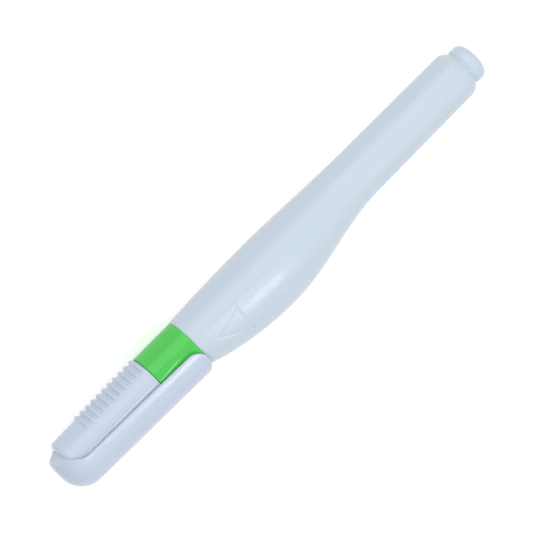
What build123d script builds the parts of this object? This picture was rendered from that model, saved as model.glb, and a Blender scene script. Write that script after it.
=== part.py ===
from build123d import *

import math
import os

# A squeeze correction pen with its cap on, lying on its side. All sizes are in millimetres.
# +X runs along the pen from the cap's nose to the tail, +Y is the ribbed side, -Y the clip and
# belly side, and +Z is up. The origin is under the middle of the pen, on the surface it lies on.
# Stations are measured along the pen from the nose, radii from the pen's axis.

# Clearances and overruns shared by all pieces
slide_clearance = 0.05
seat_clearance = 0.03
face_gap = 0.1
overrun = 1.0

# Round corners of turned outlines are drawn as chords of about this length
chord_length = 2.4

# Lengths that set the pen's stations
cap_reach = 31.7
collar_width = 12.25
barrel_length = 93.8
plug_reach = 4.15

# Squeeze barrel
barrel_front_r = 6.85
barrel_rear_r = 6.25
barrel_wall = 1.0
grip_length = 58.5
belly_swell = 4.75
side_swell = 1.9
label_swell = 0.75
shoulder_length = 2.7
tail_face_r = 4.9
tail_bore_r = 4.0
tail_land = 2.4
grip_seam = 0.03

# How the swell rises to its peak along the grip, and the least flat between a section's two arcs
peak_share = 0.44
rise_power = 0.8
grip_sections = 13
grip_flat = 0.02

# Triangular squeeze marks on both flanks of the belly
mark_height = 0.22
mark_start = 5.7
mark_length = 8.6
mark_apex_drop = 1.8
mark_high_corner = 1.1
mark_low_corner = -7.5
mark_corner_r = 0.5
mark_sections = 3

# Tail plug
plug_spigot_length = 6.0
plug_neck_r = 4.75
plug_neck_length = 0.9
plug_bead_r = 5.02
plug_end_edge = 1.5
plug_wall = 1.2

# Nozzle with its visible collar
collar_r = 6.8
seat_r = 5.6
seat_length = 10.0
cone_base_r = 4.9
cone_front_r = 2.6
spigot_length = 6.0
spigot_wall = 1.1
channel_r = 2.1
retainer_r = 2.4

# Metal tip
tip_shank_r = 1.75
tip_shank_length = 5.9
tip_land_r = 2.0
tip_land_length = 1.2
tip_cone_base_r = 1.7
tip_cone_length = 3.0
tip_point_r = 0.65
tip_bore_r = 1.0
valve_seat_length = 0.7
valve_seat_back = 0.3

# Valve needle
needle_r = 0.35
needle_body_r = 0.8
needle_flange_r = 1.6
needle_flange_width = 1.0
needle_flange_gap = 0.7
needle_stem_r = 0.6
needle_stem_length = 13.0
needle_reach = 0.7
needle_room = 1.0
needle_nose_edge = 0.2

# Return spring
spring_wire_r = 0.15
spring_mean_r = 1.2
spring_turns = 5
spring_wire_sides = 6
spring_length = 9.0
spring_samples = 24

# Spring retainer
retainer_length = 6.0
flow_hole_r = 0.45
flow_hole_count = 3

# Mixing ball
ball_r = 2.25
ball_rest = 10.5

# Cap body
cap_front = 3.35
cap_r = 6.55
cap_nose_edge = 1.2
cap_nose_wall = 1.65
cap_inner_r = 5.2
cap_mouth_edge = 0.3
seal_r = 3.0
seal_socket_depth = 4.0
seal_floor = 2.2
bore_relief = 0.4

# Grip ribs on the cap
rib_count = 11
rib_pitch = 1.84
rib_margin = 0.8
rib_width = 1.24
rib_crest = 0.56
rib_height = 0.45
rib_half_angle = 44.0

# Shell clip, one moulding with the cap
clip_overhang = 12.4
clip_wall = 1.0
clip_nose_r = 7.75
clip_gap = 0.5
clip_nose_edge = 6.0
clip_inner_edge = 1.4
clip_corner = 2.9
clip_rim = 0.95
clip_ledge = 2.4
clip_ledge_length = 3.6
clip_rise_length = 5.4
clip_sink = 0.25

# Stations worked out from the lengths
collar_x = cap_reach + face_gap
barrel_x = collar_x + collar_width
grip_end_x = barrel_x + grip_length
tail_x = barrel_x + barrel_length
end_x = tail_x + plug_reach
seat_x = collar_x - seat_length
socket_x = cap_front + cap_nose_wall
tip_end_x = socket_x + seal_floor + needle_room + needle_reach
nozzle_x = tip_end_x + tip_cone_length + tip_land_length
shank_end_x = nozzle_x + tip_shank_length
flange_x = shank_end_x + needle_flange_gap
spring_x = flange_x + needle_flange_width
retainer_x = spring_x + spring_length
retainer_end_x = retainer_x + retainer_length
spigot_end_x = barrel_x + spigot_length
plug_front_x = tail_x - plug_spigot_length
clip_end_x = cap_reach + clip_overhang


def swell(along_share):
    """Share of the full swell at a place along the grip, which rises fast and falls as a soft wave."""
    if along_share < peak_share:
        return math.sin(math.pi / 2 * max(along_share, 0) / peak_share) ** rise_power
    return math.cos(math.pi / 2 * (along_share - peak_share) / (1 - peak_share)) ** 2


def grip_r(along_share, full_swell):
    """Distance from the axis to the grip's skin, on a side with that full swell."""
    round_r = barrel_front_r + (barrel_rear_r - grip_seam - barrel_front_r) * along_share
    return round_r + full_swell * swell(along_share)


# The clip's free end clears the belly that it lies over
clip_end_r = grip_r((clip_end_x - barrel_x) / grip_length, belly_swell) + clip_gap + clip_wall

# The pen's own frame, with its axis placed so that the whole pen stands over the origin
grip_places = [place / grip_sections for place in range(grip_sections + 1)]
grip_side = max(grip_r(along_share, side_swell) for along_share in grip_places)
axis_y = (belly_swell - label_swell) / 2
axis_z = max(clip_end_r, grip_side)
PEN = Plane(origin=(-end_x / 2, axis_y, axis_z), x_dir=(1, 0, 0), z_dir=(0, 0, 1))
PEN_AXIS = Axis(PEN.origin, PEN.x_dir)


def across(station):
    """Plane square to the pen's axis, with its own x towards the ribbed side."""
    return Plane(origin=PEN.from_local_coords((station, 0, 0)), x_dir=PEN.y_dir, z_dir=PEN.x_dir)


def arc_points(middle, radius, start, sweep):
    """Points of an arc about its middle, drawn as chords, with its angles in degrees."""
    chords = math.ceil(abs(math.radians(sweep)) * radius / chord_length)
    angles = [math.radians(start + sweep * chord / chords) for chord in range(chords + 1)]
    return [(middle[0] + radius * math.cos(angle), middle[1] + radius * math.sin(angle)) for angle in angles]


def grip_section(along_share, inset):
    """Face across the grip: a label arc and a belly arc of the grip's half width, joined by flats."""
    side = grip_r(along_share, side_swell) - inset
    label_y = grip_r(along_share, label_swell) - inset - side + grip_flat
    belly_y = side + inset - grip_r(along_share, belly_swell) - grip_flat
    with BuildSketch(across(barrel_x + grip_length * along_share)) as section:
        with BuildLine():
            CenterArc((label_y, 0), side, -90, 180)
            Line((label_y, side), (belly_y, side))
            CenterArc((belly_y, 0), side, 90, 180)
            Line((belly_y, -side), (label_y, -side))
        make_face()
    return section.sketch.face()


# Squeeze marks, a triangular slice of a slightly swollen grip
with BuildPart() as squeeze_marks:
    mark_x = barrel_x + mark_start
    mark_from_share = (mark_start - overrun) / grip_length
    mark_to_share = (mark_start + mark_length + overrun) / grip_length
    mark_step_share = (mark_to_share - mark_from_share) / mark_sections
    mark_places = [mark_from_share + mark_step_share * place for place in range(mark_sections + 1)]
    loft([grip_section(along_share, -mark_height) for along_share in mark_places], ruled=True)
    core_sections = [grip_section(along_share, barrel_wall / 2) for along_share in mark_places]
    loft(core_sections, ruled=True, mode=Mode.SUBTRACT)
    with BuildSketch(PEN) as mark_outline:
        with BuildLine():
            Polyline(
                (mark_x, -mark_apex_drop),
                (mark_x + mark_length, mark_low_corner),
                (mark_x + mark_length, mark_high_corner),
                close=True,
            )
        make_face()
        fillet(mark_outline.vertices(), mark_corner_r)
    extrude(amount=barrel_front_r + belly_swell, both=True, mode=Mode.INTERSECT)

# Squeeze barrel: the bellied grip, the round rear with its shoulder, and the raised marks
with BuildPart() as barrel:
    loft([grip_section(along_share, 0) for along_share in grip_places], ruled=True)
    cavity_sections = [grip_section(along_share, barrel_wall) for along_share in grip_places]
    loft(cavity_sections, ruled=True, mode=Mode.SUBTRACT)
    shoulder_drop = barrel_rear_r - tail_face_r
    shoulder_r = (shoulder_length**2 + shoulder_drop**2) / (2 * shoulder_drop)
    shoulder_turn = math.degrees(math.asin(shoulder_length / shoulder_r))
    shoulder_middle = (tail_x - shoulder_length, barrel_rear_r - shoulder_r)
    with BuildSketch(PEN):
        with BuildLine():
            Polyline(
                (grip_end_x, barrel_rear_r),
                *arc_points(shoulder_middle, shoulder_r, 90, -shoulder_turn),
                (tail_x, tail_bore_r),
                (tail_x - tail_land, tail_bore_r),
                (tail_x - tail_land, barrel_rear_r - barrel_wall),
                (grip_end_x, barrel_rear_r - barrel_wall),
                close=True,
            )
        make_face()
    revolve(axis=PEN_AXIS)
    add(squeeze_marks.part)
barrel.part.label = "barrel"

# Tail plug with its snap bead, hollow from the inside
with BuildPart() as tail_plug:
    plug_spigot_r = tail_bore_r - seat_clearance
    bead_step = plug_bead_r - plug_neck_r
    with BuildSketch(PEN):
        with BuildLine():
            Polyline(
                *arc_points((end_x - plug_end_edge, plug_bead_r - plug_end_edge), plug_end_edge, 0, 90),
                (tail_x + plug_neck_length + bead_step, plug_bead_r),
                (tail_x + plug_neck_length, plug_neck_r),
                (tail_x, plug_neck_r),
                (tail_x, plug_spigot_r),
                (plug_front_x, plug_spigot_r),
                (plug_front_x, 0),
                (end_x, 0),
                close=True,
            )
        make_face()
    revolve(axis=PEN_AXIS)
    with BuildSketch(across(plug_front_x)):
        Circle(plug_spigot_r - plug_wall)
    extrude(amount=end_x - plug_wall - plug_front_x, mode=Mode.SUBTRACT)
tail_plug.part.label = "tail_plug"

# Nozzle: cone, cap seat, visible collar and the spigot that plugs the barrel
with BuildPart() as nozzle:
    spigot_r = barrel_front_r - barrel_wall - seat_clearance
    with BuildSketch(PEN):
        with BuildLine():
            Polyline(
                (nozzle_x, 0),
                (nozzle_x, cone_front_r),
                (seat_x, cone_base_r),
                (seat_x, seat_r),
                (collar_x, seat_r),
                (collar_x, collar_r),
                (barrel_x, collar_r),
                (barrel_x, spigot_r),
                (spigot_end_x, spigot_r),
                (spigot_end_x, 0),
                close=True,
            )
        make_face()
    revolve(axis=PEN_AXIS)
    with BuildSketch(PEN):
        with BuildLine():
            Polyline(
                (nozzle_x - overrun, 0),
                (nozzle_x - overrun, tip_shank_r + seat_clearance),
                (shank_end_x, tip_shank_r + seat_clearance),
                (shank_end_x, channel_r),
                (retainer_x, channel_r),
                (retainer_x, retainer_r + seat_clearance),
                (retainer_end_x, retainer_r + seat_clearance),
                (retainer_end_x, spigot_r - spigot_wall),
                (spigot_end_x + overrun, spigot_r - spigot_wall),
                (spigot_end_x + overrun, 0),
                close=True,
            )
        make_face()
    revolve(axis=PEN_AXIS, mode=Mode.SUBTRACT)
nozzle.part.label = "nozzle"

# Metal tip with the valve seat inside it
with BuildPart() as metal_tip:
    land_x = nozzle_x - tip_land_length
    valve_end_x = nozzle_x - valve_seat_back
    valve_x = valve_end_x - valve_seat_length
    with BuildSketch(PEN):
        with BuildLine():
            Polyline(
                (tip_end_x, needle_r + slide_clearance),
                (tip_end_x, tip_point_r),
                (land_x, tip_cone_base_r),
                (land_x, tip_land_r),
                (nozzle_x, tip_land_r),
                (nozzle_x, tip_shank_r),
                (shank_end_x, tip_shank_r),
                (shank_end_x, tip_bore_r),
                (valve_end_x, tip_bore_r),
                (valve_x, needle_r + slide_clearance),
                close=True,
            )
        make_face()
    revolve(axis=PEN_AXIS)
metal_tip.part.label = "metal_tip"

# Valve needle: writing point, sealing cone, spring flange and guide stem
with BuildPart() as valve_needle:
    needle_x = tip_end_x - needle_reach
    seal_slope = valve_seat_length / (tip_bore_r - needle_r - slide_clearance)
    seal_x = valve_x + face_gap
    with BuildSketch(PEN):
        with BuildLine():
            Polyline(
                (needle_x, 0),
                (needle_x, needle_r - needle_nose_edge),
                (needle_x + needle_nose_edge, needle_r),
                (seal_x, needle_r),
                (seal_x + seal_slope * (needle_body_r - needle_r), needle_body_r),
                (flange_x, needle_body_r),
                (flange_x, needle_flange_r),
                (spring_x, needle_flange_r),
                (spring_x, needle_stem_r),
                (spring_x + needle_stem_length, needle_stem_r),
                (spring_x + needle_stem_length, 0),
                close=True,
            )
        make_face()
    revolve(axis=PEN_AXIS)
valve_needle.part.label = "valve_needle"

# Return spring, wound in half turns that each lie in a tilted plane and join along their tangents
spring_start = spring_x + spring_wire_r + slide_clearance
spring_pitch = (spring_length - 2 * spring_wire_r - 2 * slide_clearance) / spring_turns
half_turn_r = math.hypot(spring_mean_r, spring_pitch / 4)


def spring_point(half_turn, angle):
    """Point of one half turn, at an angle from 0 to 180 degrees along it."""
    side = 1 if half_turn % 2 == 0 else -1
    middle = spring_start + spring_pitch * (half_turn / 2 + 1 / 4)
    along = middle - spring_pitch / 4 * math.cos(math.radians(angle))
    out = side * spring_mean_r * math.cos(math.radians(angle))
    return PEN.from_local_coords((along, out, side * half_turn_r * math.sin(math.radians(angle))))


with BuildPart() as needle_spring:
    with BuildLine() as spring_path:
        for half_turn in range(2 * spring_turns):
            ThreePointArc(*(spring_point(half_turn, angle) for angle in (0, 90, 180)))
    with BuildSketch(Plane(origin=spring_path.wire() @ 0, z_dir=spring_path.wire() % 0)):
        RegularPolygon(spring_wire_r, spring_wire_sides)
    sweep()
needle_spring.part.label = "needle_spring"

spring_points = [
    spring_point(half_turn, 180 * step / spring_samples)
    for half_turn in range(2 * spring_turns)
    for step in range(spring_samples)
]
spring_gap = min(
    (first - second).length
    for place, first in enumerate(spring_points)
    for second in spring_points[place + spring_samples :]
)
print("spring: least gap to itself", round(spring_gap - 2 * spring_wire_r, 3), "mm")

# Spring retainer, a bush with flow holes round the needle's stem
with BuildPart() as spring_retainer:
    stem_bore_r = needle_stem_r + slide_clearance
    with BuildSketch(across(retainer_x)):
        Circle(retainer_r)
        Circle(stem_bore_r, mode=Mode.SUBTRACT)
        with PolarLocations((retainer_r + stem_bore_r) / 2, flow_hole_count):
            Circle(flow_hole_r, mode=Mode.SUBTRACT)
    extrude(amount=retainer_length)
spring_retainer.part.label = "spring_retainer"

# Mixing ball, loose in the barrel and lying against its lower wall
with BuildPart() as mixing_ball:
    ball_drop = barrel_rear_r - barrel_wall - ball_r - face_gap
    ball_x = plug_front_x - ball_rest - ball_r
    with Locations(PEN.from_local_coords((ball_x, 0, -ball_drop))):
        Sphere(ball_r)
mixing_ball.part.label = "mixing_ball"

# Clip, a half-round shell whose nose carries it and whose rim sweeps up to the nose's ledge
with BuildPart() as clip:
    with BuildSketch(PEN):
        with BuildLine():
            Polyline(
                *arc_points((clip_nose_edge, clip_nose_r - clip_nose_edge), clip_nose_edge, 90, 90),
                (0, 0),
                (clip_end_x, 0),
                (clip_end_x, clip_end_r),
                close=True,
            )
        make_face()
    revolve(axis=PEN_AXIS)
    pocket_x = cap_front + clip_sink
    pocket_r = clip_nose_r - clip_wall
    pocket_middle = (pocket_x + clip_inner_edge, pocket_r - clip_inner_edge)
    with BuildSketch(PEN):
        with BuildLine():
            Polyline(
                *arc_points(pocket_middle, clip_inner_edge, 90, 90),
                (pocket_x, 0),
                (clip_end_x + overrun, 0),
                (clip_end_x + overrun, clip_end_r - clip_wall),
                close=True,
            )
        make_face()
    revolve(axis=PEN_AXIS, mode=Mode.SUBTRACT)
    with BuildSketch(PEN):
        with BuildLine():
            ledge = Line((-overrun, clip_ledge), (clip_ledge_length, clip_ledge))
            rise_end = (clip_ledge_length + clip_rise_length, clip_rim)
            rise = Spline(ledge @ 1, rise_end, tangents=((1, 0), (1, 0)))
            corner_x = clip_end_x - clip_corner
            rim = Line(rise @ 1, (corner_x, clip_rim))
            upper_corner = CenterArc((corner_x, clip_rim - clip_corner), clip_corner, 0, 90)
            end_line = Line((clip_end_x, clip_rim - clip_corner), (clip_end_x, clip_corner - clip_end_r))
            lower_corner = CenterArc((corner_x, clip_corner - clip_end_r), clip_corner, -90, 90)
            Polyline(
                (corner_x, -clip_end_r),
                (corner_x, -clip_end_r - overrun),
                (-overrun, -clip_end_r - overrun),
                ledge @ 0,
            )
        make_face()
    extrude(amount=clip_end_r + overrun, both=True, mode=Mode.INTERSECT)

# Cap: body with grip ribs, the clip, and the bore that slides over the nozzle's seat
with BuildPart() as cap:
    with BuildSketch(PEN):
        with BuildLine():
            Polyline(
                *arc_points((cap_front + cap_nose_edge, cap_r - cap_nose_edge), cap_nose_edge, 90, 90),
                (cap_front, 0),
                (cap_reach, 0),
                (cap_reach, cap_r - cap_mouth_edge),
                (cap_reach - cap_mouth_edge, cap_r),
                close=True,
            )
        make_face()
    revolve(axis=PEN_AXIS)
    for rib in range(rib_count):
        rib_x = cap_reach - rib_margin - rib_pitch * rib
        with BuildSketch(PEN.rotated((-rib_half_angle, 0, 0))):
            with BuildLine():
                Polyline(
                    (rib_x - rib_width / 2, cap_r - rib_height),
                    (rib_x - rib_width / 2, cap_r),
                    (rib_x - rib_crest / 2, cap_r + rib_height),
                    (rib_x + rib_crest / 2, cap_r + rib_height),
                    (rib_x + rib_width / 2, cap_r),
                    (rib_x + rib_width / 2, cap_r - rib_height),
                    close=True,
                )
            make_face()
        revolve(axis=PEN_AXIS, revolution_arc=2 * rib_half_angle)
    add(clip.part)
    with BuildSketch(PEN):
        bore_x = seat_x - bore_relief
        socket_r = seal_r + seat_clearance
        with BuildLine():
            Polyline(
                (socket_x, 0),
                (socket_x, socket_r),
                (socket_x + seal_socket_depth, socket_r),
                (socket_x + seal_socket_depth, cap_inner_r),
                (bore_x, cap_inner_r),
                (bore_x, seat_r + slide_clearance),
                (cap_reach + overrun, seat_r + slide_clearance),
                (cap_reach + overrun, 0),
                close=True,
            )
        make_face()
    revolve(axis=PEN_AXIS, mode=Mode.SUBTRACT)
cap.part.label = "cap"

# Soft seal in the cap's nose, a cup that closes over the metal tip
with BuildPart() as tip_seal:
    with BuildSketch(across(socket_x)):
        Circle(seal_r)
    extrude(amount=nozzle_x - face_gap - socket_x)
    with BuildSketch(across(socket_x + seal_floor)):
        Circle(tip_land_r + slide_clearance)
    extrude(amount=nozzle_x - socket_x, mode=Mode.SUBTRACT)
tip_seal.part.label = "tip_seal"

os.makedirs("parts", exist_ok=True)
export_step(barrel.part, "parts/barrel.step")
export_step(tail_plug.part, "parts/tail_plug.step")
export_step(nozzle.part, "parts/nozzle.step")
export_step(metal_tip.part, "parts/metal_tip.step")
export_step(valve_needle.part, "parts/valve_needle.step")
export_step(needle_spring.part, "parts/needle_spring.step")
export_step(spring_retainer.part, "parts/spring_retainer.step")
export_step(mixing_ball.part, "parts/mixing_ball.step")
export_step(cap.part, "parts/cap.step")
export_step(tip_seal.part, "parts/tip_seal.step")
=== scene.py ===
"""Looks of a capped squeeze correction pen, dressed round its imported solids.

Sizes are millimetres in the pen's own frame: a station is measured along the pen from the cap's
nose, y runs towards the ribbed side and z runs up. PenFrame turns them into metres in the row frame.
"""

import logging
import math
from dataclasses import dataclass
from enum import Enum
from typing import Sequence

import bmesh
import bpy
from mathutils import Matrix, Vector


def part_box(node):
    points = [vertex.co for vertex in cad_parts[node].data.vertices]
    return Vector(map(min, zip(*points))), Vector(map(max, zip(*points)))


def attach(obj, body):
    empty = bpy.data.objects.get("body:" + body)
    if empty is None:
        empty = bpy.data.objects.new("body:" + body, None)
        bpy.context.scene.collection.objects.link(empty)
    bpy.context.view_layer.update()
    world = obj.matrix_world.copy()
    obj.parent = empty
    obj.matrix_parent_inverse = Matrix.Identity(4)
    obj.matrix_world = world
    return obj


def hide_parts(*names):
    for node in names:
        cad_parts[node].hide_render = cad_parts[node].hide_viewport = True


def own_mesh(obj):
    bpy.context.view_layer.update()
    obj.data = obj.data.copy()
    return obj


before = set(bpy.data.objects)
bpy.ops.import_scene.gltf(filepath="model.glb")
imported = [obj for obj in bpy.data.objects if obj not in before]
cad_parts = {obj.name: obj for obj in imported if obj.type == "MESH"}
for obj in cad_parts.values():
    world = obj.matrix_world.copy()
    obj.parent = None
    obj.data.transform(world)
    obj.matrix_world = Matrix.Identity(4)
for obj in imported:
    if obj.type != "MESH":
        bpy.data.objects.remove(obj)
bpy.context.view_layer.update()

LOG = logging.getLogger("pen")
MM = 0.001

# Points closer than this are one, in metres
WELD = 1e-4 * MM

# Most values of a noise lie between these
NOISE_SPAN = (0.3, 0.7)

WHITE = (1.0, 1.0, 1.0, 1.0)

Pair = tuple[float, float]
Point = tuple[float, float, float]
Colour = tuple[float, float, float]
Ring = list[Point]
Outline = list[Pair]
Piece = bpy.types.Object
Socket = bpy.types.NodeSocket
Input = float | Sequence[float] | Socket


class Body(Enum):
    """Bodies of the part that a new piece rides on."""

    BARREL = "barrel"
    CAP = "cap"


class Slot(Enum):
    """Material slots of the part's record."""

    WHITE_SHELL = "white_shell"
    WHITE_PLUG = "white_plug"
    WHITE_CAP = "white_cap"
    GREEN_COLLAR = "green_collar"
    TIP_STEEL = "tip_steel"
    NEEDLE_STEEL = "needle_steel"
    SPRING_WIRE = "spring_wire"
    BALL_STEEL = "ball_steel"
    INNER_PLASTIC = "inner_plastic"
    SOFT_SEAL = "soft_seal"


class Crease(Enum):
    """How far two faces may turn and still shade as one smooth surface, in degrees."""

    SOFT = 40.0
    TURNED = 28.0


def held(share: float) -> float:
    """The share, held between 0 and 1."""
    return min(max(share, 0.0), 1.0)


def ease(share: float) -> float:
    """Smooth step from 0 to 1, held at both ends."""
    along = held(share)
    return along * along * (3.0 - 2.0 * along)


def mix(first: float, last: float, share: float) -> float:
    """Value at a share of the way from first to last."""
    return first + (last - first) * share


def spread(first: float, last: float, count: int) -> list[float]:
    """Evenly spaced values from first to last, both included."""
    return [mix(first, last, place / (count - 1)) for place in range(count)]


def even_steps(first: float, last: float, longest: float) -> list[float]:
    """Values from first to last, both included, no further apart than longest."""
    return spread(first, last, math.ceil(abs(last - first) / longest) + 1)


def joined_steps(ends: Sequence[float], longest: Sequence[float]) -> list[float]:
    """Joins rows of even steps that follow each other.

    Args:
        ends: where the first row starts and where each row ends.
        longest: the widest step allowed in each row.

    Returns:
        All the values, without repeats where two rows meet.
    """
    values = [ends[0]]
    for first, last, step in zip(ends, ends[1:], longest):
        values += even_steps(first, last, step)[1:]
    return values


def full_turn(count: int) -> list[float]:
    """Angles of evenly spaced points round a circle, in radians."""
    return [2.0 * math.pi * place / count for place in range(count)]


def quarter_round(steps: int) -> Outline:
    """Shares of a rounding's size, done along it and left across it, after each step round it."""
    turns = spread(0.0, math.pi / 2, steps + 1)[1:]
    return [(1.0 - math.cos(turn), 1.0 - math.sin(turn)) for turn in turns]


def mirrored_turn(ends: Sequence[float], longest: Sequence[float]) -> list[float]:
    """Angles round a section whose two halves are stepped alike.

    Args:
        ends: ends of the rows of one half in degrees, from 0 to 180.
        longest: the widest step allowed in each row, in degrees.

    Returns:
        The angles of the whole turn, in radians.
    """
    half = joined_steps(ends, longest)
    other = [360.0 - value for value in reversed(half)]
    return [math.radians(value) for value in half[:-1] + other[:-1]]


def round_rings(outline: Outline, angles: Sequence[float]) -> list[Ring]:
    """Round rings about the pen's axis, one at each station and radius of an outline."""
    spokes = [(math.cos(angle), math.sin(angle)) for angle in angles]
    return [[(station, radius * y, radius * z) for y, z in spokes] for station, radius in outline]


def rounded_outline(corners: Sequence[Point], steps: int) -> Outline:
    """Rounds the corners of a closed outline in the plane of stations and radii.

    Args:
        corners: (station, radius from the axis, rounding) of each corner, in order.
        steps: chords in each rounding.

    Returns:
        The closed outline, with each rounding drawn as chords of its arc.
    """
    outline: Outline = []
    for place, (station, radius, rounding) in enumerate(corners):
        here = Vector((station, radius))
        before = Vector(corners[place - 1][:2]) - here
        after = Vector(corners[(place + 1) % len(corners)][:2]) - here
        if rounding <= 0.0:
            outline.append((station, radius))
            continue
        turn = math.pi - before.angle(after)
        before.normalize()
        after.normalize()
        cut = rounding * math.tan(turn / 2)
        middle = here + (before + after).normalized() * math.hypot(cut, rounding)
        spoke = here + before * cut - middle
        sense = 1.0 if before.cross(after) < 0.0 else -1.0
        for swing in spread(0.0, sense * turn, steps + 1):
            swung = Matrix.Rotation(swing, 2) @ spoke + middle
            outline.append((swung.x, swung.y))
    return outline


def shade_smooth(data: bpy.types.Mesh, crease: Crease) -> None:
    """Shades a mesh smooth and keeps the edges past the crease angle sharp."""
    data.polygons.foreach_set("use_smooth", [True] * len(data.polygons))
    data.set_sharp_from_angle(angle=math.radians(crease.value))


@dataclass(frozen=True)
class PenFrame:
    """Where the pen lies: its nose along X and its axis in Y and Z, in metres."""

    nose_x: float
    axis_y: float
    axis_z: float

    @classmethod
    def from_frame(cls) -> "PenFrame":
        """Reads the nose from the cap's box and the axis from the turned tail plug's box."""
        low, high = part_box("tail_plug")
        return cls(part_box("cap")[0].x, (low.y + high.y) / 2, (low.z + high.z) / 2)

    def place(self, point: Point) -> Vector:
        """Turns a point in the pen's frame into the row frame."""
        station, y, z = point
        return Vector((self.nose_x + station * MM, self.axis_y + y * MM, self.axis_z + z * MM))

    def span(self, node: str) -> Pair:
        """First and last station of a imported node, in millimetres."""
        low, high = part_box(node)
        return (low.x - self.nose_x) / MM, (high.x - self.nose_x) / MM


class RingMesh:
    """Turns rows of rings in the pen's frame into one mesh object."""

    def __init__(self, pen: PenFrame) -> None:
        """Keeps the pen's frame and starts an empty mesh."""
        self.pen = pen
        self.mesh = bmesh.new()

    def loft(self, rings: Sequence[Ring], close: bool = False) -> "RingMesh":
        """Adds a skin through rings that have the same number of points.

        Args:
            rings: the rings in order, each a closed row of points.
            close: whether the last ring joins the first.

        Returns:
            This mesh.
        """
        rows = [[self.mesh.verts.new(self.pen.place(point)) for point in ring] for ring in rings]
        if close:
            rows.append(rows[0])
        for near, far in zip(rows, rows[1:]):
            for side in range(len(near)):
                after = (side + 1) % len(near)
                self.mesh.faces.new((near[side], near[after], far[after], far[side]))
        return self

    def turn(self, outline: Outline, segments: int) -> "RingMesh":
        """Adds a closed outline of stations and radii, turned about the pen's axis."""
        return self.loft(round_rings(outline, full_turn(segments)), close=True)

    def finish(self, name: str, crease: Crease) -> Piece:
        """Cleans the mesh, shades it smooth and links it as an object.

        Args:
            name: name of the new piece.
            crease: angle past which an edge stays sharp.

        Returns:
            The new object.
        """
        bmesh.ops.remove_doubles(self.mesh, verts=self.mesh.verts[:], dist=WELD)
        bmesh.ops.dissolve_degenerate(self.mesh, edges=self.mesh.edges[:], dist=WELD)
        bmesh.ops.recalc_face_normals(self.mesh, faces=self.mesh.faces[:])
        data = bpy.data.meshes.new(name)
        self.mesh.to_mesh(data)
        self.mesh.free()
        shade_smooth(data, crease)
        piece = bpy.data.objects.new(name, data)
        bpy.context.scene.collection.objects.link(piece)
        return piece


@dataclass(frozen=True)
class Noise:
    """A noise in the object's own coordinates: waves per metre, octaves, and a stretch of each axis."""

    scale: float
    detail: float
    stretch: Point = (1.0, 1.0, 1.0)


class Marks(Enum):
    """Marks that working leaves on steel, each a noise drawn out along them."""

    TURNED = Noise(900.0, 3.0, (1.0, 0.05, 0.05))
    DRAWN = Noise(900.0, 3.0, (0.05, 1.0, 1.0))
    POLISHED = Noise(900.0, 3.0)


class NodeTree:
    """Small helper for writing the nodes of a material or of the world."""

    def __init__(self, owner: bpy.types.Material | bpy.types.World, shader: str = "Principled BSDF") -> None:
        """Turns the nodes of a material or world on, and finds the shader that it starts with."""
        owner.use_nodes = True
        self.owner, self.shader = owner, owner.node_tree.nodes[shader]

    def fill(self, node: bpy.types.Node, inputs: dict[str | int, Input]) -> None:
        """Sets a node's inputs, and links those whose value is a socket.

        Args:
            node: the node.
            inputs: a value or another node's output for each input.
        """
        for name, value in inputs.items():
            if isinstance(value, Socket):
                self.owner.node_tree.links.new(value, node.inputs[name])
            else:
                node.inputs[name].default_value = value

    def add(self, kind: str, inputs: dict[str | int, Input]) -> bpy.types.Node:
        """Adds a node and fills its inputs.

        Args:
            kind: type of the node.
            inputs: a value or another node's output for each input.

        Returns:
            The new node.
        """
        node = self.owner.node_tree.nodes.new(kind)
        self.fill(node, inputs)
        return node

    def noise(self, noise: Noise) -> Socket:
        """Adds a noise.

        Args:
            noise: its scale, detail and stretch.

        Returns:
            The noise's value socket.
        """
        place = self.add("ShaderNodeTexCoord", {}).outputs["Object"]
        place = self.add("ShaderNodeMapping", {"Vector": place, "Scale": noise.stretch}).outputs["Vector"]
        waves = {"Scale": noise.scale, "Detail": noise.detail}
        return self.add("ShaderNodeTexNoise", {"Vector": place, **waves}).outputs["Fac"]

    def tint(self, value: Socket, tones: Sequence[Sequence[float]]) -> None:
        """Colours the shader between two tones by a noise's value.

        Args:
            value: socket that picks the tone.
            tones: linear colours where the value is low and where it is high.
        """
        ramp = self.add("ShaderNodeValToRGB", {"Fac": value})
        for stop, position, tone in zip(ramp.color_ramp.elements, NOISE_SPAN, tones):
            stop.position = position
            stop.color = (*tone, 1.0)
        self.fill(self.shader, {"Base Color": ramp.outputs["Color"]})

    def ranged(self, value: Input, low: Input, high: Input, span: Pair = (0.0, 1.0)) -> Socket:
        """Adds a map of a value's span onto the range from low to high."""
        ends = {"From Min": span[0], "From Max": span[1], "To Min": low, "To Max": high}
        return self.add("ShaderNodeMapRange", {"Value": value, **ends}).outputs["Result"]

    def roughen(self, value: Socket, gloss: Pair) -> None:
        """Spreads a noise's value over a range of roughness."""
        self.fill(self.shader, {"Roughness": self.ranged(value, *gloss, NOISE_SPAN)})

    def bump(self, value: Socket, strength: float, height: float) -> None:
        """Bends the shader's normal by a value, to a strength and a height in metres."""
        bump = self.add("ShaderNodeBump", {"Height": value, "Strength": strength, "Distance": height})
        self.fill(self.shader, {"Normal": bump.outputs["Normal"]})

    def seen_rays(self) -> Socket:
        """Adds nodes that tell camera, glossy and transmission rays from the rest.

        Returns:
            A socket that is 1 for those rays and 0 for the rest.
        """
        path = self.add("ShaderNodeLightPath", {}).outputs
        seen = path["Is Camera Ray"]
        for rays in ("Is Glossy Ray", "Is Transmission Ray"):
            either = self.add("ShaderNodeMath", {0: seen, 1: path[rays]})
            either.operation = "MAXIMUM"
            seen = either.outputs[0]
        return seen


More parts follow.
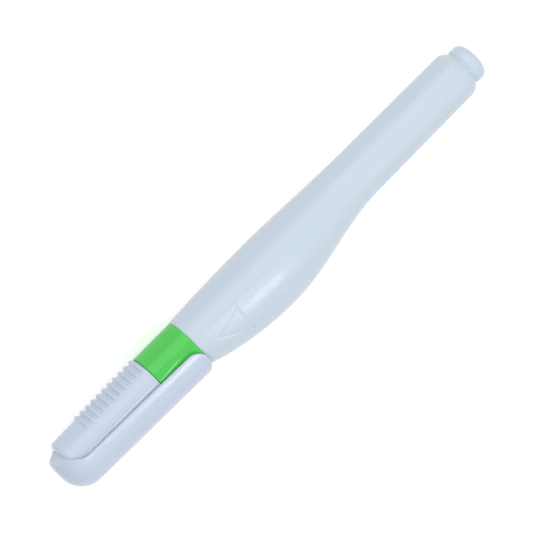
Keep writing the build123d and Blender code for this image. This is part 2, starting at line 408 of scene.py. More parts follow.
@dataclass(frozen=True)
class Finish:
    """Finish whose tone, gloss and fine relief each follow a noise."""

    name: str
    colour: Colour
    gloss: Pair
    tone: Noise
    tone_shares: Pair
    polish: Noise
    relief: Noise
    relief_strength: float
    relief_height: float

    def shader_inputs(self) -> dict[str, Input]:
        """Inputs of the shader that no noise drives."""
        return {}

    def material(self) -> bpy.types.Material:
        """Writes the finish as a material.

        Returns:
            The new material.
        """
        tree = NodeTree(bpy.data.materials.new(self.name))
        tree.fill(tree.shader, self.shader_inputs())
        tones = [[part * share for part in self.colour] for share in self.tone_shares]
        tree.tint(tree.noise(self.tone), tones)
        tree.roughen(tree.noise(self.polish), self.gloss)
        tree.bump(tree.noise(self.relief), self.relief_strength, self.relief_height)
        return tree.owner


@dataclass(frozen=True)
class MouldedPlastic(Finish):
    """Glossy moulded plastic with a faint flow mottling and a fine skin texture."""

    tone: Noise = Noise(45.0, 1.0, (0.45, 1.0, 1.0))
    tone_shares: Pair = (0.996, 1.004)
    polish: Noise = Noise(240.0, 4.0)
    relief: Noise = Noise(1100.0, 2.0)
    relief_strength: float = 0.12
    relief_height: float = 0.000012
    specular: float = 0.36
    glow_weight: float = 0.0
    glow_depth: float = 0.0012

    def shader_inputs(self) -> dict[str, Input]:
        """Level of the reflections, and the light that spreads under the skin."""
        glow = {"Subsurface Weight": self.glow_weight, "Subsurface Scale": self.glow_depth}
        return {"Specular IOR Level": self.specular, "Subsurface Radius": (1.0, 1.0, 1.0), **glow}


@dataclass(frozen=True)
class WorkedSteel(Finish):
    """Bare steel with the fine marks of its working."""

    tone: Noise = Noise(300.0, 3.0)
    tone_shares: Pair = (0.9, 1.0)
    polish: Noise = Marks.POLISHED.value
    relief: Noise = Marks.POLISHED.value
    relief_strength: float = 0.35
    relief_height: float = 0.000006

    @classmethod
    def marked(cls, name: str, colour: Colour, gloss: Pair, marks: Marks) -> "WorkedSteel":
        """Steel whose gloss and relief both follow its marks."""
        return cls(name, colour, gloss, polish=marks.value, relief=marks.value)

    def shader_inputs(self) -> dict[str, Input]:
        """Metal all through."""
        return {"Metallic": 1.0}


@dataclass(frozen=True)
class SoftPlastic(Finish):
    """Matt plastic or elastomer of the hidden pieces, with a grained skin."""

    tone: Noise = Noise(420.0, 4.0)
    tone_shares: Pair = (0.94, 1.0)
    polish: Noise = Noise(700.0, 3.0)
    relief: Noise = Noise(2600.0, 3.0)
    relief_strength: float = 0.25
    relief_height: float = 0.00002


FINISHES: dict[Slot, Finish] = {
    Slot.WHITE_SHELL: MouldedPlastic("barrel_white", (0.595, 0.685, 0.78), (0.2, 0.26), glow_weight=0.15),
    Slot.WHITE_PLUG: MouldedPlastic("plug_white", (0.585, 0.68, 0.78), (0.2, 0.26)),
    Slot.WHITE_CAP: MouldedPlastic("cap_white", (0.575, 0.65, 0.79), (0.1, 0.15)),
    Slot.GREEN_COLLAR: MouldedPlastic(
        "collar_green", (0.075, 0.61, 0.088), (0.09, 0.14), tone_shares=(0.98, 1.02)
    ),
    Slot.TIP_STEEL: WorkedSteel.marked("turned_steel", (0.62, 0.62, 0.6), (0.2, 0.36), Marks.TURNED),
    Slot.NEEDLE_STEEL: WorkedSteel.marked("ground_steel", (0.66, 0.66, 0.66), (0.16, 0.3), Marks.DRAWN),
    Slot.SPRING_WIRE: WorkedSteel.marked("drawn_wire", (0.58, 0.58, 0.58), (0.22, 0.38), Marks.DRAWN),
    Slot.BALL_STEEL: WorkedSteel("polished_ball", (0.7, 0.7, 0.72), (0.06, 0.12)),
    Slot.INNER_PLASTIC: SoftPlastic("bush_plastic", (0.8, 0.8, 0.8), (0.5, 0.66)),
    Slot.SOFT_SEAL: SoftPlastic("seal_elastomer", (0.8, 0.8, 0.78), (0.55, 0.7)),
}


def dress(piece: Piece, slot: Slot) -> None:
    """Gives a piece the finish of one slot all over.

    Args:
        piece: the object to dress.
        slot: the record's slot of its finish.
    """
    piece.data.materials.clear()
    piece.data.materials.append(FINISHES[slot].material())


def seat(piece: Piece, body: Body, slot: Slot, node: str) -> None:
    """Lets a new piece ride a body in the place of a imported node, dresses it and reports it.

    Args:
        piece: the new piece.
        body: the body that it moves with.
        slot: the record's slot of its finish.
        node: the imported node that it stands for.
    """
    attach(piece, body.value)
    dress(piece, slot)
    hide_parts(node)
    LOG.info("%s stands for %s on %s, %d faces", piece.name, node, body.value, len(piece.data.polygons))


def carry_over(node: str, slot: Slot) -> None:
    """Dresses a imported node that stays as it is, and reports it.

    Args:
        node: name of the node.
        slot: the record's slot of its finish.
    """
    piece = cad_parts[node]
    dress(piece, slot)
    shade_smooth(piece.data, Crease.TURNED)
    LOG.info("%s stays, dressed as %s", node, slot.value)


@dataclass(frozen=True)
class GripSkin:
    """Skin of the bellied grip, round at both ends and drawn out on the belly side between them."""

    front_r: float = 6.85
    rear_r: float = 6.45
    length: float = 58.5
    belly_swell: float = 4.61
    side_swell: float = 1.78
    back_swell: float = 0.66
    peak_share: float = 0.44
    rise_power: float = 0.8

    def swell(self, along: float) -> float:
        """Share of the full swell at a place along the grip.

        Args:
            along: share of the grip's length, from 0 to 1.

        Returns:
            The share, which is 1 at the peak and 0 at both ends.
        """
        if along < self.peak_share:
            return math.sin(math.pi / 2 * along / self.peak_share) ** self.rise_power
        fall = (along - self.peak_share) / (1.0 - self.peak_share)
        return math.cos(math.pi / 2 * fall) ** 2

    def reach(self, distance: float) -> Point:
        """Distances of the skin from the axis at a place along the barrel.

        Args:
            distance: millimetres from the barrel's front.

        Returns:
            The reach on the ribbed side, on the belly side and on the flanks.
        """
        along = held(distance / self.length)
        round_r = mix(self.front_r, self.rear_r, along)
        share = self.swell(along)
        swells = (self.back_swell, self.belly_swell, self.side_swell)
        return tuple(round_r + swell * share for swell in swells)

    def point(self, distance: float, angle: float, lift: float) -> Pair:
        """Point of one section, lifted off the skin along its normal.

        Args:
            distance: millimetres from the barrel's front.
            angle: place round the section, 0 on the ribbed side.
            lift: millimetres outwards, or inwards where negative.

        Returns:
            Its y and z.
        """
        back, belly, side = self.reach(distance)
        across, up = math.cos(angle), math.sin(angle)
        end = back if across >= 0.0 else belly
        normal = Vector((across / end, up / side)).normalized()
        return end * across + normal.x * lift, side * up + normal.y * lift


@dataclass(frozen=True)
class SqueezeMark:
    """Triangle outlined by a shallow groove on each flank, which shows where to squeeze."""

    start: float = 4.2
    length: float = 9.2
    apex: float = -1.8
    high: float = 1.9
    low: float = -7.1
    height: float = 0.03
    groove: float = 0.2
    edge: float = 0.45

    def lift(self, distance: float, y: float) -> float:
        """Height of the mark over the skin, below zero in its groove.

        Args:
            distance: millimetres from the barrel's front.
            y: place across the flank.

        Returns:
            Millimetres above the skin.
        """
        end = self.start + self.length
        corners = [Vector((self.start, self.apex)), Vector((end, self.low)), Vector((end, self.high))]
        inside = math.inf
        for corner, after in zip(corners, corners[1:] + corners[:1]):
            run = after - corner
            inward = Vector((-run.y, run.x)).normalized()
            inside = min(inside, (Vector((distance, y)) - corner).dot(inward))
        groove = max(1.0 - abs(inside - self.edge) / self.edge, 0.0)
        return self.height * ease(inside / self.edge) - self.groove * groove


@dataclass
class SqueezeBarrel:
    """Bellied barrel and the plug snapped into its tail."""

    pen: PenFrame
    skin: GripSkin = GripSkin()
    mark: SqueezeMark = SqueezeMark()
    wall: float = 1.0
    lip: float = 0.18
    shoulder_length: float = 2.7
    shoulder_start_r: float = 6.28
    tail_face_r: float = 4.9
    tail_bore_r: float = 4.0
    tail_land: float = 2.4
    neck_r: float = 4.78
    neck_length: float = 0.5
    neck_edge: float = 0.25
    bead_r: float = 5.02
    bead_edge: float = 0.5
    end_edge: float = 2.0
    spigot_length: float = 6.0
    spigot_edge: float = 0.3
    spigot_clearance: float = 0.03
    plug_wall: float = 1.2

    # Steps of the barrel's mesh, in degrees and millimetres, and where its marks are round it
    marks_span: Pair = (74.0, 147.0)
    marks_turn: float = 1.15
    plain_turn: float = 4.2
    marks_margin: float = 1.0
    marks_step: float = 0.14
    front_step: float = 0.5
    grip_step: float = 1.1
    rear_step: float = 4.0
    inner_step: float = 3.0

    # Chords of the roundings, and points round the plug
    lip_steps: int = 4
    shoulder_steps: int = 12
    plug_steps: int = 8
    plug_segments: int = 96

    def __post_init__(self) -> None:
        """Reads the stations from the frame and sets the angles of the barrel's rings."""
        self.front, self.tail = self.pen.span("barrel")
        self.end = self.pen.span("tail_plug")[1]
        longest = (self.plain_turn, self.marks_turn, self.plain_turn)
        self.angles = mirrored_turn((0.0, *self.marks_span, 180.0), longest)

    def grip_ring(self, distance: float, lift: float, marked: bool = False) -> Ring:
        """One ring of the barrel's skin.

        Args:
            distance: millimetres from the barrel's front.
            lift: millimetres off the outer skin.
            marked: whether the squeeze marks stand on it.

        Returns:
            The ring's points.
        """
        ring: Ring = []
        for angle in self.angles:
            y, z = self.skin.point(distance, angle, lift)
            if marked:
                y, z = self.skin.point(distance, angle, lift + self.mark.lift(distance, y))
            ring.append((self.front + distance, y, z))
        return ring

    def lip_rings(self) -> list[Ring]:
        """Rings of the barrel's front face and its rounded lip.

        Returns:
            The rings, from the inner wall outwards.
        """
        rings = [self.grip_ring(0.0, -self.wall), self.grip_ring(0.0, -self.lip)]
        for done, left in quarter_round(self.lip_steps)[:-1]:
            rings.append(self.grip_ring(self.lip * done, -self.lip * left))
        return rings

    def grip_rings(self) -> list[Ring]:
        """Rings of the grip's outside, close together at the squeeze marks.

        Returns:
            The rings, from the lip to the rear.
        """
        marks_start = self.mark.start - self.marks_margin
        marks_end = self.mark.start + self.mark.length + self.marks_margin
        longest = (self.front_step, self.marks_step, self.grip_step)
        distances = joined_steps((self.lip, marks_start, marks_end, self.skin.length), longest)
        return [self.grip_ring(distance, 0.0, marked=True) for distance in distances]

    def rear_rings(self) -> list[Ring]:
        """Rings of the tapered rear, the rounded shoulder and the plug's seat.

        Returns:
            The rings, as far as the inner wall.
        """
        rear = self.front + self.skin.length
        shoulder = self.tail - self.shoulder_length
        outline: Outline = []
        for station in even_steps(rear, shoulder, self.rear_step)[1:]:
            share = (station - rear) / (shoulder - rear)
            outline.append((station, mix(self.skin.rear_r, self.shoulder_start_r, share)))
        drop = self.shoulder_start_r - self.tail_face_r
        bend_r = (self.shoulder_length**2 + drop**2) / (2.0 * drop)
        bend = math.asin(self.shoulder_length / bend_r)
        for turn in spread(0.0, bend, self.shoulder_steps + 1)[1:]:
            radius = self.shoulder_start_r - bend_r * (1.0 - math.cos(turn))
            outline.append((shoulder + bend_r * math.sin(turn), radius))
        land = self.tail - self.tail_land
        inner_r = self.skin.rear_r - self.wall
        outline += [(self.tail, self.tail_bore_r), (land, self.tail_bore_r), (land, inner_r)]
        return round_rings(outline, self.angles)

    def build_barrel(self) -> None:
        """Lofts the barrel, outer skin, tail and inner wall, as one closed shell, and seats it."""
        rings = self.lip_rings() + self.grip_rings() + self.rear_rings()
        for distance in even_steps(self.skin.length, 0.0, self.inner_step)[:-1]:
            rings.append(self.grip_ring(distance, -self.wall))
        barrel = RingMesh(self.pen).loft(rings, close=True).finish("squeeze_barrel", Crease.SOFT)
        seat(barrel, Body.BARREL, Slot.WHITE_SHELL, "barrel")

    def build_plug(self) -> None:
        """Turns the tail plug with its neck, bead and rounded end, and seats it."""
        spigot_r = self.tail_bore_r - self.spigot_clearance
        spigot_front = self.tail - self.spigot_length
        neck_end = self.tail + self.neck_length
        bead = neck_end + self.bead_r - self.neck_r
        outline = rounded_outline(
            [
                (spigot_front, spigot_r - self.plug_wall, 0.0),
                (spigot_front, spigot_r, self.spigot_edge),
                (self.tail, spigot_r, 0.0),
                (self.tail, self.neck_r, 0.0),
                (neck_end, self.neck_r, self.neck_edge),
                (bead, self.bead_r, self.bead_edge),
                (self.end, self.bead_r, self.end_edge),
                (self.end, 0.0, 0.0),
                (self.end - self.plug_wall, 0.0, 0.0),
                (self.end - self.plug_wall, spigot_r - self.plug_wall, 0.0),
            ],
            self.plug_steps,
        )
        plug = RingMesh(self.pen).turn(outline, self.plug_segments).finish("tail_plug_turned", Crease.TURNED)
        seat(plug, Body.BARREL, Slot.WHITE_PLUG, "tail_plug")

    def build(self) -> None:
        """Builds and dresses the barrel and its plug."""
        self.build_barrel()
        self.build_plug()


@dataclass
class ReturnSpring:
    """Wound wire spring behind the needle's flange, which shortens as the needle is pressed."""

    pen: PenFrame
    wire_r: float = 0.15
    mean_r: float = 1.2
    turns: int = 5
    stroke: float = 0.6
    turn_points: int = 40
    wire_points: int = 10

    def __post_init__(self) -> None:
        """Reads the spring's ends from the frame."""
        self.front, self.rear = self.pen.span("needle_spring")

    def wire_rings(self) -> list[Ring]:
        """Rings round the wire along its winding, drawn to a point at both ends.

        Returns:
            The rings, from the front.
        """
        start = self.front + self.wire_r
        rise = (self.rear - self.wire_r - start) / (2.0 * math.pi * self.turns)
        last = self.turns * self.turn_points
        places = [(0, 0.0), *((step, self.wire_r) for step in range(last + 1)), (last, 0.0)]
        around = full_turn(self.wire_points)
        rings: list[Ring] = []
        for step, radius in places:
            wound = 2.0 * math.pi * step / self.turn_points
            out = Vector((0.0, math.cos(wound), math.sin(wound)))
            aside = Vector((rise, -self.mean_r * out.z, self.mean_r * out.y)).normalized().cross(out)
            middle = out * self.mean_r + Vector((start + rise * wound, 0.0, 0.0))
            spokes = [out * math.cos(turn) + aside * math.sin(turn) for turn in around]
            rings.append([tuple(middle + spoke * radius) for spoke in spokes])
        return rings

    def build(self) -> None:
        """Builds, dresses and seats the spring, and gives it a mesh of its own."""
        spring = RingMesh(self.pen).loft(self.wire_rings()).finish("return_spring", Crease.SOFT)
        seat(spring, Body.BARREL, Slot.SPRING_WIRE, "needle_spring")
        anchor = self.pen.place((self.rear, 0.0, 0.0))
        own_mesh(spring)


@dataclass
class NozzleGroup:
    """Green nozzle with its collar, the metal pieces that it holds, and the ball behind it."""

    pen: PenFrame
    collar_r: float = 6.8
    collar_width: float = 12.25
    collar_edge: float = 0.16
    collar_foot: float = 0.12
    seat_r: float = 5.6
    seat_length: float = 10.0
    seat_edge: float = 0.35
    cone_base_r: float = 4.9
    cone_front_r: float = 2.6
    cone_edge: float = 0.3
    cone_foot: float = 0.2
    spigot_r: float = 5.82
    spigot_wall: float = 1.1
    spigot_length: float = 6.0
    spigot_edge: float = 0.3
    shank_bore_r: float = 1.78
    channel_r: float = 2.1
    retainer_bore_r: float = 2.43
    rounding_steps: int = 6
    segments: int = 128

    def __post_init__(self) -> None:
        """Reads the nozzle's stations from the frame."""
        self.front, self.end = self.pen.span("nozzle")
        self.collar_end = self.end - self.spigot_length
        self.collar = self.collar_end - self.collar_width
        self.seat = self.collar - self.seat_length
        self.shank_end = self.pen.span("metal_tip")[1]
        self.retainer, self.retainer_end = self.pen.span("spring_retainer")

    def build_nozzle(self) -> None:
        """Turns the nozzle, its cone, cap seat, collar and spigot round one bore, and seats it."""
        spigot_bore_r = self.spigot_r - self.spigot_wall
        outline = rounded_outline(
            [
                (self.front, self.shank_bore_r, 0.0),
                (self.front, self.cone_front_r, self.cone_edge),
                (self.seat, self.cone_base_r, self.cone_foot),
                (self.seat, self.seat_r, self.seat_edge),
                (self.collar, self.seat_r, self.collar_foot),
                (self.collar, self.collar_r, self.collar_edge),
                (self.collar_end, self.collar_r, self.collar_edge),
                (self.collar_end, self.spigot_r, 0.0),
                (self.end, self.spigot_r, self.spigot_edge),
                (self.end, spigot_bore_r, 0.0),
                (self.retainer_end, spigot_bore_r, 0.0),
                (self.retainer_end, self.retainer_bore_r, 0.0),
                (self.retainer, self.retainer_bore_r, 0.0),
                (self.retainer, self.channel_r, 0.0),
                (self.shank_end, self.channel_r, 0.0),
                (self.shank_end, self.shank_bore_r, 0.0),
            ],
            self.rounding_steps,
        )
        nozzle = RingMesh(self.pen).turn(outline, self.segments).finish("nozzle_turned", Crease.TURNED)
        seat(nozzle, Body.BARREL, Slot.GREEN_COLLAR, "nozzle")

    def build(self) -> None:
        """Builds the nozzle and the spring, and dresses the pieces that stay as they are."""
        self.build_nozzle()
        carry_over("metal_tip", Slot.TIP_STEEL)
        carry_over("valve_needle", Slot.NEEDLE_STEEL)
        ReturnSpring(self.pen).build()
        carry_over("spring_retainer", Slot.INNER_PLASTIC)
        carry_over("mixing_ball", Slot.BALL_STEEL)


@dataclass
class GripRibs:
    """Row of rounded ribs across the cap's back, the last one beside its mouth."""

    mouth: float
    count: int = 11
    pitch: float = 1.84
    margin: float = 0.8
    width: float = 1.24
    height: float = 0.55
    half_angle: float = 46.5
    end_length: float = 0.9
    fullness: float = 0.8

    def __post_init__(self) -> None:
        """Works out the first rib's station from the mouth."""
        self.first = self.mouth - self.margin - self.pitch * (self.count - 1)

    def lift(self, station: float, angle: float, radius: float) -> float:
        """Height of the ribs over the cap's body.

        Args:
            station: place along the pen.
            angle: angle from the middle of the ribbed side, in radians.
            radius: the body's radius there.

        Returns:
            Millimetres above the body.
        """
        near = min(max(round((station - self.first) / self.pitch), 0), self.count - 1)
        across = (station - self.first - near * self.pitch) / (self.width / 2)
        past = (abs(angle) - math.radians(self.half_angle)) * radius + self.end_length
        along = max(past, 0.0) / self.end_length
        return self.height * max(1.0 - across * across - along * along, 0.0) ** self.fullness


@dataclass
class ShellClip:
    """Broad half-round clip that grows out of the cap's nose."""

    end: float
    root: float
    wall: float = 0.85
    nose_r: float = 7.74
    end_r: float = 8.38
    nose_edge: float = 6.6
    pocket: float = 3.6
    pocket_blend: float = 1.4
    rim: float = 0.94
    end_rim: float = 0.45
    rim_round: float = 1.1
    corner: float = 3.6
    corner_reach: float = 9.0
    ledge: float = 3.0
    ledge_length: float = 3.4
    fall_length: float = 5.2
    root_rise: float = 0.5
    root_run: float = 1.4
    root_sink: float = 0.4
    root_fade: float = 2.8

    # Steps of the mesh along the clip, and where its plain stretch starts
    front_step: float = 0.35
    plain_start: float = 12.0
    plain_step: float = 1.6
    corner_step: float = 0.45

    # Points of each section, and rings of the rounded nose and of the free end
    arc_points: int = 60
    rim_points: int = 9
    tip_shares: Pair = (0.0, 0.5)
    nose_steps: int = 26
    end_steps: int = 6
    end_share: float = 0.999

    def outer_r(self, station: float) -> float:
        """Radius of the clip's outside, which is rounded off towards the nose.

        Args:
            station: place along the pen.

        Returns:
            The radius.
        """
        past = station - self.nose_edge
        if past < 0.0:
            return self.nose_r - self.nose_edge + math.sqrt(self.nose_edge**2 - past * past)
        return mix(self.nose_r, self.end_r, past / (self.end - self.nose_edge))

    def root_lift(self, station: float) -> float:
        """Rise of the ledge to a crest inside the cap's front, which fades out beside the cap."""
        past = station - self.root - self.root_sink
        return self.root_rise * ease(1.0 - max(past / self.root_fade, -past / self.root_run))

    def rim_y(self, station: float) -> float:
        """Height of the rim, which falls in a curve from the ledge, then slowly to the free end.

        Args:
            station: place along the pen.

        Returns:
            The rim's y.
        """
        fallen = self.ledge_length + self.fall_length
        rim = mix(self.rim, self.end_rim, max(station - fallen, 0.0) / (self.end - fallen))
        left = 1.0 - held((station - self.ledge_length) / self.fall_length)
        return mix(rim, self.ledge, left * left) + self.root_lift(station)

    def shell_loop(self, station: float, thin: float) -> Outline:
        """Section of the open shell: outside, rim, inside, rim.

        Args:
            station: place along the pen.
            thin: millimetres taken off both faces, for the rounded free end.

        Returns:
            The section's y and z.
        """
        outer = self.outer_r(station) - thin
        half = self.wall / 2 - thin
        middle = outer - half
        edge = math.acos(-self.rim_y(station) / outer) - self.wall / 2 / middle
        rim = [
            (middle + half * math.cos(turn), edge + half * math.sin(turn) / middle)
            for turn in spread(0.0, math.pi, self.rim_points + 2)[1:-1]
        ]
        loop = [(outer, angle) for angle in spread(-edge, edge, self.arc_points)] + rim
        loop += [(middle - half, angle) for angle in spread(edge, -edge, self.arc_points)]
        loop += [(radius, -angle) for radius, angle in reversed(rim)]
        return [(-radius * math.cos(angle), radius * math.sin(angle)) for radius, angle in loop]

    def nose_loop(self, station: float) -> Outline:
        """Section of the solid nose: outside, edge, flat deck, edge.

        Args:
            station: place along the pen.

        Returns:
            The section's y and z, as many as the shell's.
        """
        outer = self.outer_r(station)
        deck = min(self.rim_y(station), outer)
        width = math.sqrt(outer * outer - deck * deck)
        soft = min(self.rim_round, width / 2)
        flat = width - soft
        edge = math.acos(-deck / outer) - soft / outer
        arc = spread(-edge, edge, self.arc_points)
        loop = [(-outer * math.cos(angle), outer * math.sin(angle)) for angle in arc]
        start, corner, far = Vector(loop[-1]), Vector((deck, width)), Vector((deck, flat))
        rim: Outline = []
        for share in spread(0.0, 1.0, self.rim_points + 2)[1:-1]:
            spot = start.lerp(corner, share).lerp(corner.lerp(far, share), share)
            rim.append((spot.x, spot.y))
        deck_line = [(deck, z) for z in spread(flat, -flat, self.arc_points)]
        return loop + rim + deck_line + [(y, -z) for y, z in reversed(rim)]

    def loop(self, station: float, thin: float) -> Outline:
        """Section at a station, passing from the solid nose into the shell.

        Args:
            station: place along the pen.
            thin: millimetres taken off both faces of the shell.

        Returns:
            The section's y and z.
        """
        share = ease((station - self.pocket) / self.pocket_blend)
        if share <= 0.0:
            return self.nose_loop(station)
        shell = self.shell_loop(station, thin)
        if share >= 1.0:
            return shell
        pairs = zip(self.nose_loop(station), shell)
        return [(mix(near[0], far[0], share), mix(near[1], far[1], share)) for near, far in pairs]

    def cornered(self, station: float, y: float) -> float:
        """Station drawn back where the free end's corners are rounded off.

        Args:
            station: place along the clip before rounding.
            y: height of the point.

        Returns:
            The station after rounding.
        """
        start = self.end - self.corner_reach
        if station <= start:
            return station
        inset = max(y - self.end_rim + self.corner, -y - (self.end_r - self.corner), 0.0)
        back = self.corner - math.sqrt(max(self.corner**2 - inset * inset, 0.0))
        return start + (station - start) * (self.corner_reach - back) / self.corner_reach

    def rings(self) -> list[Ring]:
        """Rings of the whole clip from the tip of its nose to its free end.

        Returns:
            The rings, closed at both ends.
        """
        half = self.wall / 2
        corner_start = self.end - self.corner_reach
        nose = [self.nose_edge * done for done, _ in quarter_round(self.nose_steps)]
        longest = (self.front_step, self.plain_step, self.corner_step)
        behind = joined_steps((self.nose_edge, self.plain_start, corner_start, self.end - half), longest)
        sections = [(station, 0.0) for station in [0.0] + nose + behind[1:]]
        for done, left in quarter_round(self.end_steps):
            sections.append((self.end - half * left, half * done * self.end_share))
        tip = self.loop(0.0, 0.0)
        rings: list[Ring] = [[(0.0, y * share, z * share) for y, z in tip] for share in self.tip_shares]
        for station, thin in sections:
            rings.append([(self.cornered(station, y), y, z) for y, z in self.loop(station, thin)])
        return rings


@dataclass
class PenCap:
    """Ribbed cap body with its shell clip, and the soft seal in its nose."""

    pen: PenFrame
    mouth: float = 31.7
    front: float = 3.35
    nose_r: float = 6.42
    mouth_r: float = 6.66
    dome_r: float = 1.2
    mouth_edge: float = 0.2
    mouth_lead: float = 0.15
    nose_wall: float = 1.65
    socket_r: float = 3.03
    socket_depth: float = 4.0
    inner_r: float = 5.2
    bore: float = 21.4
    bore_r: float = 5.65

    # Steps of the mesh, in degrees and millimetres, and where the ribs end round it
    rib_ends: Pair = (34.0, 46.0)
    rib_turn: float = 4.0
    rib_end_turn: float = 1.0
    plain_turn: float = 6.0
    front_step: float = 1.2

    # Rings of each rib's pitch, of the dome and of the mouth's edge
    pitch_steps: int = 14
    dome_steps: int = 14
    edge_steps: int = 5

    def __post_init__(self) -> None:
        """Places the ribs and sets the angles of the body's rings."""
        self.ribs = GripRibs(self.mouth)
        self.dome_end = self.front + self.dome_r
        longest = (self.rib_turn, self.rib_end_turn, self.plain_turn)
        self.angles = mirrored_turn((0.0, *self.rib_ends, 180.0), longest)

    def body_r(self, station: float) -> float:
        """Radius of the cap's tapered body behind its dome."""
        return mix(self.nose_r, self.mouth_r, (station - self.dome_end) / (self.mouth - self.dome_end))

    def ribbed_ring(self, station: float) -> Ring:
        """One ring of the ribbed body.

        Args:
            station: place along the pen.

        Returns:
            The ring's points.
        """
        body_r = self.body_r(station)
        ring: Ring = []
        for angle in self.angles:
            radius = body_r + self.ribs.lift(station, math.remainder(angle, 2.0 * math.pi), body_r)
            ring.append((station, radius * math.cos(angle), radius * math.sin(angle)))
        return ring

    def dome_outline(self) -> Outline:
        """Stations and radii of the dome and of the plain body as far as the ribs.

        Returns:
            The open outline.
        """
        outline = [(self.front, 0.0), (self.front, self.nose_r - self.dome_r)]
        for done, left in quarter_round(self.dome_steps):
            outline.append((self.front + self.dome_r * done, self.nose_r - self.dome_r * left))
        plain = even_steps(self.dome_end, self.ribs.first - self.ribs.pitch / 2, self.front_step)
        return outline + [(station, self.body_r(station)) for station in plain[1:]]

    def bore_outline(self) -> Outline:
        """Stations and radii of the mouth's edge and of the bore as far as the seal's socket.

        Returns:
            The open outline.
        """
        outline: Outline = []
        for done, left in quarter_round(self.edge_steps):
            outline.append((self.mouth - self.mouth_edge * left, self.mouth_r - self.mouth_edge * done))
        socket = self.front + self.nose_wall
        return outline + [
            (self.mouth, self.bore_r + self.mouth_lead),
            (self.mouth - self.mouth_lead, self.bore_r),
            (self.bore, self.bore_r),
            (self.bore, self.inner_r),
            (socket + self.socket_depth, self.inner_r),
            (socket + self.socket_depth, self.socket_r),
            (socket, self.socket_r),
            (socket, 0.0),
        ]

    def body_rings(self) -> list[Ring]:
        """Rings of the whole body, from the middle of its dome round the mouth into the bore.

        Returns:
            The rings in order.
        """
        dome = self.dome_outline()
        ribbed = even_steps(dome[-1][0], self.mouth - self.mouth_edge, self.ribs.pitch / self.pitch_steps)
        rings = round_rings(dome, self.angles) + [self.ribbed_ring(station) for station in ribbed[1:]]
        return rings + round_rings(self.bore_outline(), self.angles)

    def build(self) -> None:
        """Builds, dresses and seats the cap, and dresses its seal."""
        clip = ShellClip(self.pen.span("cap")[1], self.front)
        cap = RingMesh(self.pen).loft(self.body_rings()).loft(clip.rings()).finish("ribbed_cap", Crease.SOFT)
        seat(cap, Body.CAP, Slot.WHITE_CAP, "cap")
        carry_over("tip_seal", Slot.SOFT_SEAL)


@dataclass(frozen=True)
class Softbox:
    """One soft lamp aimed at the pen, with sizes in metres and power in watts."""

    name: str
    direction: Point
    size: Pair
    power: float
    distance: float = 0.75

    def hang(self, aim: Vector) -> None:
        """Adds the lamp, turned towards the pen.

        Args:
            aim: the point that it faces.
        """
        lamp = bpy.data.lights.new(self.name, "AREA")
        lamp.shape = "RECTANGLE"
        lamp.size, lamp.size_y = self.size
        lamp.energy = self.power
        holder = bpy.data.objects.new(self.name, lamp)
        away = Vector(self.direction).normalized()
        holder.location = aim + away * self.distance
        holder.rotation_mode = "QUATERNION"
        holder.rotation_quaternion = (-away).to_track_quat("-Z", "Y")
        bpy.context.scene.collection.objects.link(holder)


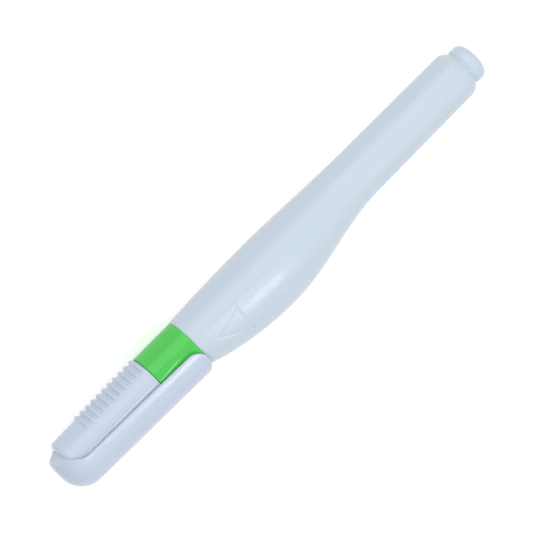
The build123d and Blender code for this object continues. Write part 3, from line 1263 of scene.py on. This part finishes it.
@dataclass
class Studio:
    """White light tent: a pale floor, a dome that dims to the horizon and four soft lamps."""

    floor_half: float = 1.6
    floor_tone: float = 0.72
    floor_glow: float = 0.56
    horizon: float = 0.47
    zenith: float = 0.92
    white: float = 1.0
    lamps: tuple[Softbox, ...] = (
        Softbox("key_box", (0.105, -0.479, 0.864), (0.11, 0.22), 0.7),
        Softbox("strip_box", (0.156, 0.757, 0.635), (0.5, 0.56), 1.15),
        Softbox("spot_box", (0.02, -0.025, 0.998), (0.15, 0.05), 0.24),
        Softbox("edge_box", (-0.013, -0.254, 0.968), (0.07, 0.08), 0.1),
    )

    def build_floor(self) -> None:
        """Lays the floor, whose own faint light only the camera and reflections see."""
        data = bpy.data.meshes.new("floor")
        half = self.floor_half
        corners = [(-half, -half, 0.0), (half, -half, 0.0), (half, half, 0.0), (-half, half, 0.0)]
        data.from_pydata(corners, [], [(0, 1, 2, 3)])
        floor = bpy.data.objects.new("floor", data)
        bpy.context.scene.collection.objects.link(floor)
        paper = NodeTree(bpy.data.materials.new("floor_paper"))
        tone = (self.floor_tone, self.floor_tone, self.floor_tone, 1.0)
        paper.fill(paper.shader, {"Base Color": tone, "Roughness": 1.0, "Specular IOR Level": 0.0})
        glow = paper.ranged(paper.seen_rays(), 0.0, self.floor_glow)
        paper.fill(paper.shader, {"Emission Color": WHITE, "Emission Strength": glow})
        data.materials.append(paper.owner)

    def build_surround(self) -> None:
        """Makes a world that lights as a dimming dome and looks white to the camera and reflections."""
        tent = NodeTree(bpy.data.worlds.new("light_tent"), "Background")
        direction = tent.add("ShaderNodeTexCoord", {}).outputs["Generated"]
        height = tent.add("ShaderNodeSeparateXYZ", {"Vector": direction}).outputs["Z"]
        dome = tent.ranged(height, self.horizon, self.zenith)
        strength = tent.ranged(tent.seen_rays(), dome, self.white)
        tent.fill(tent.shader, {"Color": WHITE, "Strength": strength})
        bpy.context.scene.world = tent.owner

    def build(self, aim: Vector) -> None:
        """Builds the whole studio.

        Args:
            aim: the point that the lamps face.
        """
        self.build_floor()
        self.build_surround()
        for lamp in self.lamps:
            lamp.hang(aim)
        bpy.context.scene.view_settings.view_transform = "Standard"


@dataclass
class PhotoCamera:
    """Camera at the photograph's angle, with turns in degrees, reach in metres and aim in millimetres."""

    pen: PenFrame
    lean: float = 20.0
    back: float = 9.0
    image_turn: float = 45.21
    distance: float = 0.9
    nearest: float = 0.01
    lens: float = 255.3
    sensor: float = 36.0
    aim_station: float = 68.2
    aim_right: float = 1.51
    aim_up: float = 1.3

    def build(self) -> Vector:
        """Adds the camera.

        Returns:
            The point on the pen's axis in the middle of its view.
        """
        lean, back, turn = (math.radians(value) for value in (self.lean, self.back, self.image_turn))
        away = Vector((-math.sin(back), math.cos(back) * math.sin(lean), math.cos(back) * math.cos(lean)))
        along = (Vector((1.0, 0.0, 0.0)) - away * away.x).normalized()
        over = away.cross(along)
        right = along * math.cos(turn) - over * math.sin(turn)
        up = along * math.sin(turn) + over * math.cos(turn)
        middle = self.pen.place((self.aim_station, 0.0, 0.0))
        aim = middle + right * self.aim_right * MM + up * self.aim_up * MM
        data = bpy.data.cameras.new("photo_camera")
        data.lens = self.lens
        data.sensor_width = self.sensor
        data.clip_start = self.nearest
        camera = bpy.data.objects.new("photo_camera", data)
        stand = Matrix((right, up, away)).transposed().to_4x4()
        stand.translation = aim + away * self.distance
        camera.matrix_world = stand
        bpy.context.scene.collection.objects.link(camera)
        bpy.context.scene.camera = camera
        return middle


def main() -> None:
    """Builds the pen's pieces in order, then the camera and the studio."""
    logging.basicConfig(level=logging.INFO, format="%(name)s: %(message)s")
    pen = PenFrame.from_frame()
    SqueezeBarrel(pen).build()
    NozzleGroup(pen).build()
    PenCap(pen).build()
    Studio().build(PhotoCamera(pen).build())


if __name__ == "__main__":
    main()
